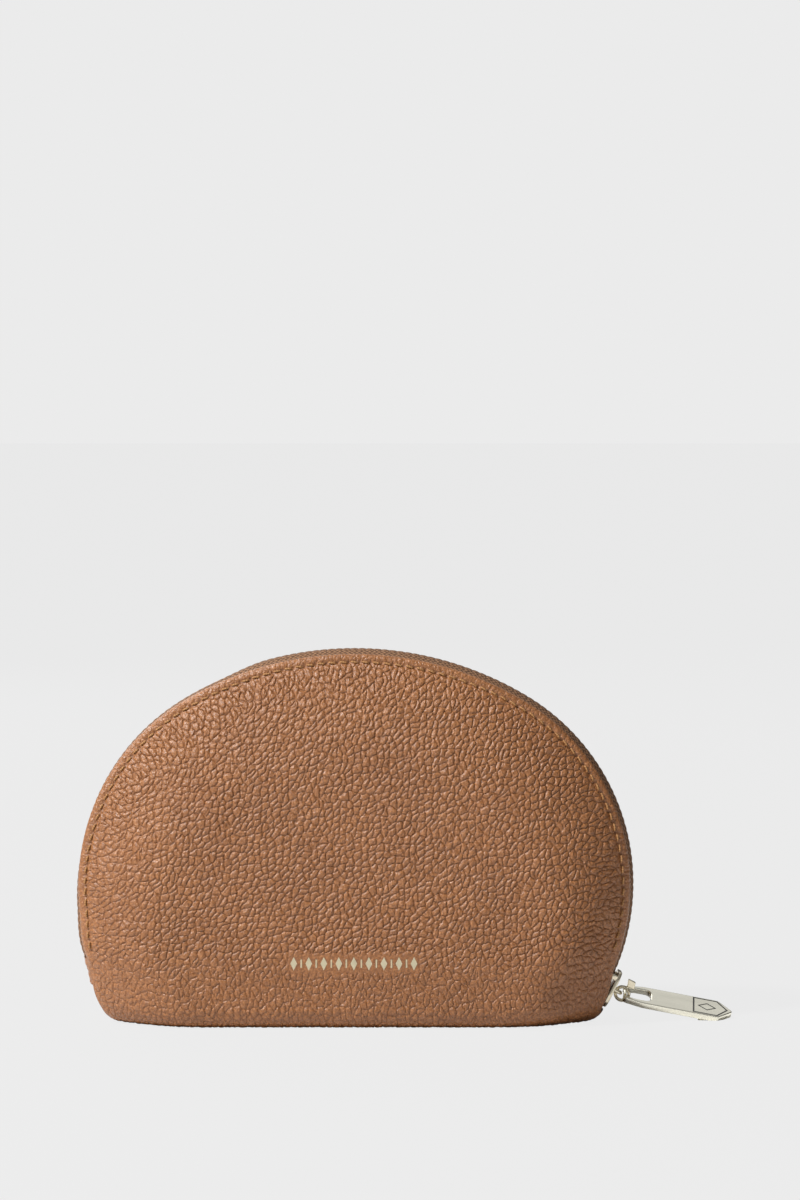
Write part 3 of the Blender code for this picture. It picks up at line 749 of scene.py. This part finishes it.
def curve_mesh(outline, closed, **settings):
    """Mesh of a curve with straight parts through the given points."""
    curve = bpy.data.curves.new("outline", "CURVE")
    for key, value in settings.items():
        setattr(curve, key, value)
    spline = curve.splines.new("POLY")
    spline.points.add(len(outline) - 1)
    for point, place in zip(spline.points, outline):
        point.co = (*place, 1)
    spline.use_cyclic_u = closed
    item = bpy.data.objects.new("outline", curve)
    bpy.context.scene.collection.objects.link(item)
    bpy.context.view_layer.update()
    mesh = bpy.data.meshes.new_from_object(item.evaluated_get(bpy.context.evaluated_depsgraph_get()))
    bpy.data.objects.remove(item)
    bpy.data.curves.remove(curve)
    return mesh


def plate(outline, low, high, bevel):
    """Flat bevelled plate inside an outline, as a mesh."""
    mesh = curve_mesh([(x, y, 0) for x, y in outline], True, dimensions="2D", fill_mode="BOTH",
                      extrude=(high - low) / 2 - bevel, bevel_depth=bevel, bevel_resolution=2, offset=-bevel)
    mesh.transform(Matrix.Translation((0, 0, (low + high) / 2)))
    mesh.polygons.foreach_set("use_smooth", [abs(face.normal.z) < 0.999 for face in mesh.polygons])
    return mesh


def rod(points, radius, closed=False):
    """Round rod along a list of points, as a mesh."""
    mesh = curve_mesh(points, closed, dimensions="3D", bevel_depth=radius, bevel_resolution=3,
                      use_fill_caps=not closed)
    mesh.shade_smooth()
    return mesh


def rounded(corners, radius, steps=5):
    """Outline with its corners rounded off, by a short curve at each."""
    made = []
    count = len(corners)
    for number, corner in enumerate(corners):
        here = Vector(corner)
        before = Vector(corners[number - 1]) - here
        after = Vector(corners[(number + 1) % count]) - here
        cut = min(radius, before.length * 0.45, after.length * 0.45)
        start, end = here + before.normalized() * cut, here + after.normalized() * cut
        for step in range(steps + 1):
            t = step / steps
            made.append(start * (1 - t) ** 2 + here * 2 * t * (1 - t) + end * t ** 2)
    return [(point.x, point.y) for point in made]


def outline_mm(*corners):
    return [(x * MM, y * MM) for x, y in corners]


def mirrored(right):
    return right + [(x, -y) for x, y in reversed(right)]


def joined(name, meshes, place, material):
    """One object from several meshes, moved into place."""
    merged = bpy.data.meshes.new(name)
    points, faces, smoothed, start = [], [], [], 0
    for mesh in meshes:
        points += [vertex.co[:] for vertex in mesh.vertices]
        faces += [[start + corner for corner in face.vertices] for face in mesh.polygons]
        smoothed += [face.use_smooth for face in mesh.polygons]
        start += len(mesh.vertices)
        bpy.data.meshes.remove(mesh)
    merged.from_pydata(points, [], faces)
    merged.transform(place)
    merged.polygons.foreach_set("use_smooth", smoothed)
    merged.set_sharp_from_angle(angle=math.radians(35))
    return add_object(name, merged, material)


def block_mesh(low, high, bevel=0.15 * MM):
    """Bevelled block between two corners."""
    outline = [(low[0], low[1]), (high[0], low[1]), (high[0], high[1]), (low[0], high[1])]
    return plate(rounded(outline, 1.5 * bevel, 3), low[2], high[2], bevel)


def slider(place, material):
    """Two plates, a crown on the outer one, a post between them and two guides at each side of each plate."""
    half = SLIDER_LENGTH / 2
    outline = rounded(mirrored([
        (-half, 2.6 * MM),
        (-half + 1.2 * MM, 4.1 * MM),
        (half - 3.0 * MM, 4.6 * MM),
        (half - 0.9 * MM, 4.3 * MM),
        (half, 2.4 * MM),
        (half - 0.6 * MM, 0.8 * MM),
    ]), 0.8 * MM)
    crown = rounded(mirrored(outline_mm((-3.4, 1.3), (-2.4, 2.0), (2.6, 2.0), (3.3, 1.2))), 0.6 * MM)
    parts = [plate(outline, *OUTER_PLATE, 0.22 * MM), plate(outline, *INNER_PLATE, 0.22 * MM)]
    parts.append(plate(crown, OUTER_PLATE[1] - 0.25 * MM, OUTER_PLATE[1] + 0.12 * MM, 0.12 * MM))
    # The post stands just off the middle, clear of the back half's coil heads as the slider runs along them.
    parts.append(block_mesh((POST_X - 0.7 * MM, -0.54 * MM, INNER_PLATE[1] - 0.2 * MM),
                            (POST_X + 0.7 * MM, -0.18 * MM, OUTER_PLATE[0] + 0.2 * MM), 0.1 * MM))
    guide_heights = ((0.0, OUTER_PLATE[0] + 0.3 * MM), (INNER_PLATE[1] - 0.3 * MM, -2.3 * MM))
    for side in (-1, 1):
        low_y, high_y = sorted((side * 3.35 * MM, side * 4.15 * MM))
        for start in (-3.6 * MM, 0.4 * MM):
            for low, high in guide_heights:
                parts.append(block_mesh((start, low_y, low), (start + 1.3 * MM, high_y, high)))
    return joined("slider_metal", parts, place, material)


def bridge(place, material):
    """Bent rod over the slider's outer plate, that the ring hangs in."""
    foot = OUTER_PLATE[1] + 0.05 * MM
    shoulder = foot + 0.2 * MM
    top = OUTER_PLATE[1] + BRIDGE_CLEAR + BRIDGE_RADIUS
    points = [(0, -BRIDGE_HALF, foot)]
    for angle in np.linspace(math.pi, 0, 25):
        y = BRIDGE_HALF * math.copysign(abs(math.cos(angle)) ** 0.55, math.cos(angle))
        points.append((0, y, shoulder + (top - shoulder) * math.sin(angle) ** 0.6))
    points.append((0, BRIDGE_HALF, foot))
    return joined("bridge_metal", [rod(points, BRIDGE_RADIUS)], place, material)


def ring(place, material):
    """Wire ring with a short stem that carries a flat stud."""
    angles = 2 * math.pi * np.arange(48) / 48
    points = [(RING_RADIUS * math.cos(angle), 0, RING_RADIUS * math.sin(angle)) for angle in angles]
    stem = [(0.9 * MM, 0, 1.2 * MM), (1.9 * MM, 0, 2.0 * MM)]
    facet = outline_mm((-0.7, 1.3), (-1.0, -0.5), (0.6, -1.3), (1.0, 0.5))
    stud = plate(rounded(facet, 0.2 * MM, 2), -0.6 * MM, 0.6 * MM, 0.15 * MM)
    stud.transform(Matrix.Translation((2.2 * MM, 0, 2.2 * MM)) @ Matrix.Rotation(math.pi / 2, 4, "X"))
    parts = [rod(points, RING_WIRE * 0.95, closed=True), rod(stem, 0.38 * MM), stud]
    return joined("ring_metal", parts, place, material)


def puller(place, material, enamel):
    """Flat bar with a window at its eye end, a pointed tip, a small foot underneath and enamel lines."""
    half = PULLER_THICKNESS / 2
    right = [
        (-0.1 * MM, PULLER_NECK_HALF - 0.6 * MM),
        (0.5 * MM, PULLER_NECK_HALF),
        (4.6 * MM, PULLER_HALF_WIDTH),
        (PULLER_LENGTH - PULLER_POINT, PULLER_HALF_WIDTH),
        (PULLER_LENGTH, 0.3 * MM),
    ]
    window = [
        (right[0][0], PULLER_WINDOW_HALF - 0.3 * MM),
        (3.0 * MM, PULLER_WINDOW_HALF + 0.4 * MM),
        (PULLER_WINDOW_END - 0.8 * MM, PULLER_WINDOW_HALF + 0.4 * MM),
        (PULLER_WINDOW_END, PULLER_WINDOW_HALF - 0.6 * MM),
    ]
    outline = mirrored(right) + [(x, -y) for x, y in window] + window[::-1]
    reach = PULLER_NECK_HALF - 0.7 * MM
    bar = [(PULLER_BAR_RADIUS, y, 0) for y in (-reach, 0, reach)]
    foot = block_mesh((18.2 * MM, -3.5 * MM, -half - 0.7 * MM), (21.0 * MM, -1.6 * MM, -half + 0.2 * MM),
                      0.25 * MM)
    parts = [plate(rounded(outline, 0.55 * MM, 4), -half, half, 0.24 * MM), rod(bar, PULLER_BAR_RADIUS), foot]
    body = joined("puller_metal", parts, place, material)
    line_height = half + 0.015 * MM
    inner = PULLER_HALF_WIDTH - 0.6 * MM
    start, tip = PULLER_LENGTH - 9.2 * MM, PULLER_LENGTH - PULLER_POINT - 0.3 * MM
    border = [(start, inner), (tip, inner), (PULLER_LENGTH - 1.2 * MM, 0.0), (tip, -inner), (start, -inner)]
    middle = (start + tip) / 2 + 0.4 * MM
    lozenge = [(middle - 2.0 * MM, 0), (middle, 1.5 * MM), (middle + 2.0 * MM, 0), (middle, -1.5 * MM)]
    lines = [closed_line(border, 0.2 * MM, line_height), closed_line(lozenge, 0.16 * MM, line_height)]
    return body, joined("puller_enamel", lines, place, enamel)


def closed_line(points, half_width, height):
    """Flat strip of even width round a closed line, as a mesh."""
    places = [Vector(point) for point in points]
    count = len(places)
    vertices = []
    for number, here in enumerate(places):
        into = (here - places[number - 1]).normalized()
        onward = (places[(number + 1) % count] - here).normalized()
        aside = Vector((-(into.y + onward.y), into.x + onward.x)).normalized()
        reach = half_width / max(aside.dot(Vector((-into.y, into.x))), 0.35)
        vertices += [(*(here + aside * reach), height), (*(here - aside * reach), height)]
    faces = []
    for number in range(count):
        after = (number + 1) % count
        faces.append((2 * number, 2 * number + 1, 2 * after + 1, 2 * after))
    mesh = bpy.data.meshes.new("line")
    mesh.from_pydata(vertices, [], faces)
    return mesh


# ---- Materials ----

class Nodes:
    """Short hands for building one node tree."""

    def __init__(self, tree):
        self.tree = tree

    def feed(self, socket, value):
        """Sets a socket to a number, a colour or a direction, or links another node's output to it."""
        if isinstance(value, (int, float, Vector)):
            socket.default_value = value
        elif isinstance(value, tuple):
            socket.default_value = (*value, 1)
        else:
            self.tree.links.new(value, socket)

    def add(self, kind, inputs=(), **settings):
        """New node with its settings, and with values for some inputs by name or number."""
        node = self.tree.nodes.new(kind)
        for key, value in settings.items():
            setattr(node, key, value)
        for socket, value in dict(inputs).items():
            self.feed(node.inputs[socket], value)
        return node

    def math(self, operation, first, second=0.0):
        return self.add("ShaderNodeMath", {0: first, 1: second}, operation=operation).outputs[0]

    def remap(self, *parts, **settings):
        """A value carried from one span (low, high) to another."""
        return self.add("ShaderNodeMapRange", enumerate(parts), **settings).outputs["Result"]

    def mix(self, factor, first, second):
        """Blend of two colours; their sockets follow the node's ones for numbers and vectors."""
        return self.add("ShaderNodeMix", {0: factor, 6: first, 7: second}, data_type="RGBA").outputs[2]

    def coordinates(self, kind="Object"):
        return self.add("ShaderNodeTexCoord").outputs[kind]

    def noise(self, scale, detail, squash=(1, 1, 1)):
        mapping = self.add("ShaderNodeMapping", {"Scale": Vector(squash), "Vector": self.coordinates()})
        inputs = {"Scale": scale, "Detail": detail, "Vector": mapping.outputs[0]}
        return self.add("ShaderNodeTexNoise", inputs).outputs["Fac"]

    def field(self, name):
        return self.add("ShaderNodeAttribute", attribute_name=name).outputs["Fac"]


class Material(Nodes):
    """Node tree of a new material around its main shader."""

    def __init__(self, name):
        self.material = bpy.data.materials.new(name)
        self.material.use_nodes = True
        super().__init__(self.material.node_tree)
        self.shader = self.tree.nodes["Principled BSDF"]

    def set(self, **values):
        for key, value in values.items():
            self.feed(self.shader.inputs[key.replace("_", " ")], value)

    def bump(self, height, strength, distance):
        node = self.add("ShaderNodeBump", {"Strength": strength, "Distance": distance, "Height": height})
        self.set(Normal=node.outputs[0])


def leather_material():
    made = Material("tan_leather")
    crease = made.field("crease")
    cloudy = made.noise(55, 3)
    speck = made.noise(2100, 3)
    colour = made.mix(made.remap(cloudy, 0.35, 0.65, 0, 1), (0.368, 0.148, 0.047), (0.320, 0.126, 0.039))
    colour = made.mix(made.remap(speck, 0.42, 0.60, 0.0, 0.6), colour, (0.20, 0.078, 0.030))
    colour = made.mix(made.remap(speck, 0.33, 0.46, 0.6, 0.0), colour, (0.46, 0.205, 0.085))
    # Painted shade: the colour darkens towards deep brown in the grain's creases, the stitch furrow and the
    # needle holes, as the vertex field says; the turned cut edge is darkened through the same field.
    colour = made.mix(made.math("MULTIPLY", crease, 0.36), colour, (0.11, 0.042, 0.016))
    made.set(Base_Color=colour, Roughness=made.remap(crease, 0, 1, 0.35, 0.55), Specular_IOR_Level=0.62)
    made.bump(made.noise(1900, 4), 1.0, 0.26 * MM)
    return made.material


def lining_material():
    made = Material("woven_lining")
    across = made.noise(900, 1, (1, 1, 0.05))
    down = made.noise(900, 1, (0.05, 1, 1))
    weave = made.math("ADD", across, down)
    colour = made.mix(made.remap(weave, 0.8, 1.2, 0, 1), (0.30, 0.19, 0.12), (0.42, 0.28, 0.18))
    made.set(Base_Color=colour, Roughness=0.85, Specular_IOR_Level=0.2)
    made.bump(weave, 0.5, 0.1 * MM)
    return made.material


def flecked_material(name, scale, detail, dark, light, roughness, strength=0, distance=MM):
    """Plain stuff whose colour varies a little, and its surface too if given a strength."""
    made = Material(name)
    flecks = made.noise(scale, detail)
    made.set(Base_Color=made.mix(flecks, dark, light), Roughness=roughness)
    if strength:
        made.bump(flecks, strength, distance)
    return made.material


def tape_material():
    """Herringbone weave: slanted dashes whose slant turns over at every lane across the tape."""
    made = Material("woven_tape")
    along = made.math("DIVIDE", made.field("along"), 1.16)
    lane = made.math("DIVIDE", made.field("aside"), 1.5)
    zigzag = made.math("PINGPONG", lane, 0.5)
    phase = made.math("ADD", along, made.math("MULTIPLY", zigzag, 1.7))
    wave = made.math("SINE", made.math("MULTIPLY", phase, 2 * math.pi))
    fibre = made.noise(2500, 2)
    tone = made.math("ADD", made.remap(wave, -0.7, 0.7, 0, 1), made.remap(fibre, 0.3, 0.7, -0.25, 0.25))
    made.set(Base_Color=made.mix(tone, (0.085, 0.040, 0.021), (0.33, 0.175, 0.090)), Roughness=0.8,
             Specular_IOR_Level=0.25)
    made.bump(tone, 0.55, 0.18 * MM)
    return made.material


def thread_material():
    made = Material("sewing_thread")
    twist = made.math("SINE", made.math("MULTIPLY", made.field("along"), 2 * math.pi / 0.55))
    fibre = made.noise(3500, 2)
    ply = made.math("ADD", made.remap(twist, -1, 1, 0, 0.6), made.math("MULTIPLY", fibre, 0.4))
    made.set(Base_Color=made.mix(ply, (0.26, 0.115, 0.040), (0.50, 0.265, 0.105)), Roughness=0.62,
             Specular_IOR_Level=0.3)
    made.bump(ply, 0.4, 0.08 * MM)
    return made.material


def metal_material(name, colour, roughness):
    made = Material(name)
    brushed = made.noise(420, 3, (0.15, 1, 1))
    made.set(Base_Color=made.mix(made.remap(brushed, 0.3, 0.7, 0, 1), colour, tuple(0.93 * c for c in colour)),
             Metallic=1.0, Roughness=made.remap(brushed, 0.3, 0.7, roughness - 0.03, roughness + 0.05))
    made.bump(brushed, 0.05, 0.03 * MM)
    return made.material


# ---- Stage ----

BACKDROP = (0.831, 0.831, 0.831)
FLOOR_PLAINNESS = 0.97


def show_backdrop(made, kind, share, lighting, target):
    """Shows the camera a plain backdrop of the given kind, and everything else the lighting shader."""
    plain = made.add(kind, {"Color": BACKDROP})
    seen = made.math("MULTIPLY", made.add("ShaderNodeLightPath").outputs["Is Camera Ray"], share)
    blend = made.add("ShaderNodeMixShader", {0: seen, 1: lighting, 2: plain.outputs[0]})
    made.feed(target, blend.outputs[0])


def floor():
    bpy.ops.mesh.primitive_plane_add(size=40, location=(0, 0, 0))
    item = bpy.context.object
    item.name = "studio_floor"
    made = Material("studio_floor")
    made.set(Base_Color=(0.80, 0.80, 0.80), Roughness=0.9, Specular_IOR_Level=0.1)
    show_backdrop(made, "ShaderNodeEmission", FLOOR_PLAINNESS, made.shader.outputs[0],
                  made.tree.nodes["Material Output"].inputs["Surface"])
    made.material.cycles.emission_sampling = "NONE"
    item.data.materials.append(made.material)


def world():
    """Soft studio light: brighter towards the upper left, and a plain backdrop where it is seen directly."""
    studio = bpy.data.worlds.new("studio")
    bpy.context.scene.world = studio
    studio.use_nodes = True
    made = Nodes(studio.node_tree)
    made.tree.nodes.clear()
    brightest = Vector((-0.62, -0.30, 0.72)).normalized()
    facing = made.add("ShaderNodeVectorMath", {0: made.coordinates("Generated"), 1: brightest},
                      operation="DOT_PRODUCT")
    level = made.remap(facing.outputs["Value"], -0.35, 0.95, 0.095, 0.37, interpolation_type="SMOOTHSTEP")
    light = made.add("ShaderNodeBackground", {"Color": (1, 1, 1), "Strength": level})
    output = made.add("ShaderNodeOutputWorld")
    show_backdrop(made, "ShaderNodeBackground", 1.0, light.outputs[0], output.inputs["Surface"])


def area_light(name, place, target, size, power):
    data = bpy.data.lights.new(name, "AREA")
    data.size = size
    data.energy = power
    item = bpy.data.objects.new(name, data)
    item.location = place
    item.rotation_euler = (Vector(target) - Vector(place)).to_track_quat("-Z", "Y").to_euler()
    bpy.context.scene.collection.objects.link(item)


def camera():
    """Long lens, a little above the pouch, looking well over it so that it sits low in the picture."""
    pitch = math.radians(2.5)
    distance = 1.0
    picture_height = 0.28236
    aim = Vector((0.0107, 0, 0.0990))
    data = bpy.data.cameras.new("camera")
    data.sensor_width = 36
    data.lens = 36 * distance / picture_height
    item = bpy.data.objects.new("camera", data)
    item.location = aim + Vector((0, -math.cos(pitch), math.sin(pitch))) * distance
    item.rotation_euler = (math.pi / 2 - pitch, 0, 0)
    bpy.context.scene.collection.objects.link(item)
    bpy.context.scene.camera = item


# ---- Assembly ----

def bend(item):
    """Bakes an item's placing into its mesh."""
    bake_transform(item)


def dress_node(frame, node, material):
    item = frame["nodes"][node]
    item.data.materials.clear()
    item.data.materials.append(material)
    item.data.shade_smooth()
    item.data.set_sharp_from_angle(angle=math.radians(30))


def both(name, make, material):
    """One piece for the front half and one for the back half."""
    return make("front_" + name, FRONT, material), make("back_" + name, BACK, material)


def build(frame):
    leather = leather_material()
    board = flecked_material("pulp_board", 700, 4, dark=(0.34, 0.27, 0.19), light=(0.46, 0.38, 0.27),
                             roughness=0.9, strength=0.3, distance=0.1 * MM)
    coil = flecked_material("nylon_coil", 300, 2, dark=(0.16, 0.080, 0.042), light=(0.24, 0.125, 0.065),
                            roughness=0.36, strength=0.1, distance=0.05 * MM)
    enamel = flecked_material("dark_enamel", 600, 2, dark=(0.020, 0.019, 0.017), light=(0.045, 0.042, 0.036),
                              roughness=0.35)
    metal = metal_material("pale_gold_metal", (0.97, 0.94, 0.80), roughness=0.22)
    # Painted reflection: the same gold plating as the puller's, made darker and warmer on the slider, bridge
    # and ring to stand in for the gold-brown reflections they show.
    reflection_tinted_metal = metal_material("metal_with_painted_reflection", (0.85, 0.77, 0.59), roughness=0.18)
    gold = metal_material("gold_foil", (0.97, 0.86, 0.60), roughness=0.32)

    front = leather_skin("front_skin", FRONT, leather, columns=1000, panel_rows=580, wall_rows=84)
    back = leather_skin("back_skin", BACK, leather, columns=620, panel_rows=360, wall_rows=60)
    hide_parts("front_leather", "base_leather")
    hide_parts("back_leather")
    front_lining, back_lining = both("lining_cloth", lining_skin, lining_material())
    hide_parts("front_lining", "base_lining")
    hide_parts("back_lining")
    front_board, back_board = both("board", stiffener, board)
    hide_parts("front_stiffener")
    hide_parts("back_stiffener")
    dress_node(frame, "base_board", board)
    front_tape, back_tape = both("tape", zip_tape, tape_material())
    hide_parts("zip_tape_front")
    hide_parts("zip_tape_back")
    front_coil, back_coil = both("coil", zip_coil, coil)
    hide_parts("zip_coil_front")
    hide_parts("zip_coil_back")
    front_stitches, back_stitches = both("stitches", stitches, thread_material())
    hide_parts("stitching_front")
    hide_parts("stitching_back")
    ornament = foil(gold)

    stop_block = block_mesh((-1.0 * MM, -3.7 * MM, -3.3 * MM), (-0.1 * MM, -1.0 * MM, -2.7 * MM))
    front_stop = joined("front_stop", [stop_block], frame_on_arch(run_at_height(TAPE_LOW_Z)), metal)
    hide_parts("top_stop_front")
    dress_node(frame, "top_stop_back", metal)
    dress_node(frame, "bottom_stop", metal)

    place = frame_on_arch(slider_run())
    slider_piece = slider(place, reflection_tinted_metal)
    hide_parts("slider_body")
    bridge_piece = bridge(place, reflection_tinted_metal)
    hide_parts("slider_bridge")
    outward = place.to_3x3() @ Vector((0, 0, 1))
    ring_centre = place.translation + outward * (OUTER_PLATE[1] + BRIDGE_CLEAR / 2 + RING_RADIUS)
    ring_piece = ring(Matrix.Translation(ring_centre), reflection_tinted_metal)
    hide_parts("link_ring")
    along = Vector((math.cos(PULLER_SLOPE), 0, -math.sin(PULLER_SLOPE)))
    bar = ring_centre + along * (RING_RADIUS - 0.4 * MM - PULLER_BAR_RADIUS - 0.1 * MM)
    turn = Matrix.Rotation(PULLER_SLOPE, 4, "Y") @ Matrix.Rotation(PULLER_ROLL, 4, "X")
    puller_place = Matrix.Translation(bar) @ turn @ Matrix.Translation((-PULLER_BAR_RADIUS, 0, 0))
    puller_piece, marks = puller(puller_place, metal, enamel)
    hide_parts("puller")

    for item in (front, front_lining, front_board, front_tape, front_coil, front_stitches, ornament,
                 front_stop):
        bend(item)
    for item in (back, back_lining, back_board, back_tape, back_coil, back_stitches):
        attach(item, "back_half")
    for item in (slider_piece, bridge_piece):
        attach(item, "slider")
    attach(ring_piece, "link")
    for item in (puller_piece, marks):
        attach(item, "puller")
    finishes = {
        "leather": (front, back), "lining": (front_lining, back_lining), "board": (front_board, back_board),
        "tape": (front_tape, back_tape), "coil": (front_coil, back_coil),
        "thread": (front_stitches, back_stitches),
        "metal": (slider_piece, bridge_piece, ring_piece, puller_piece, front_stop, ornament, marks),
    }
    for name, items in finishes.items():
        for item in items:
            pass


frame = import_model()
build(frame)
floor()
world()
area_light("key", place=(-0.66, -0.44, 0.86), target=(0, 0, 0.04), size=0.12, power=15.5)
area_light("rim", place=(0.30, 0.90, 0.90), target=(0.07, 0, 0.01), size=1.0, power=1.35)
area_light("behind", place=(-0.50, 1.0, 0.60), target=(0, 0, 0.05), size=0.8, power=5)
camera()
bpy.context.scene.view_settings.view_transform = "Standard"
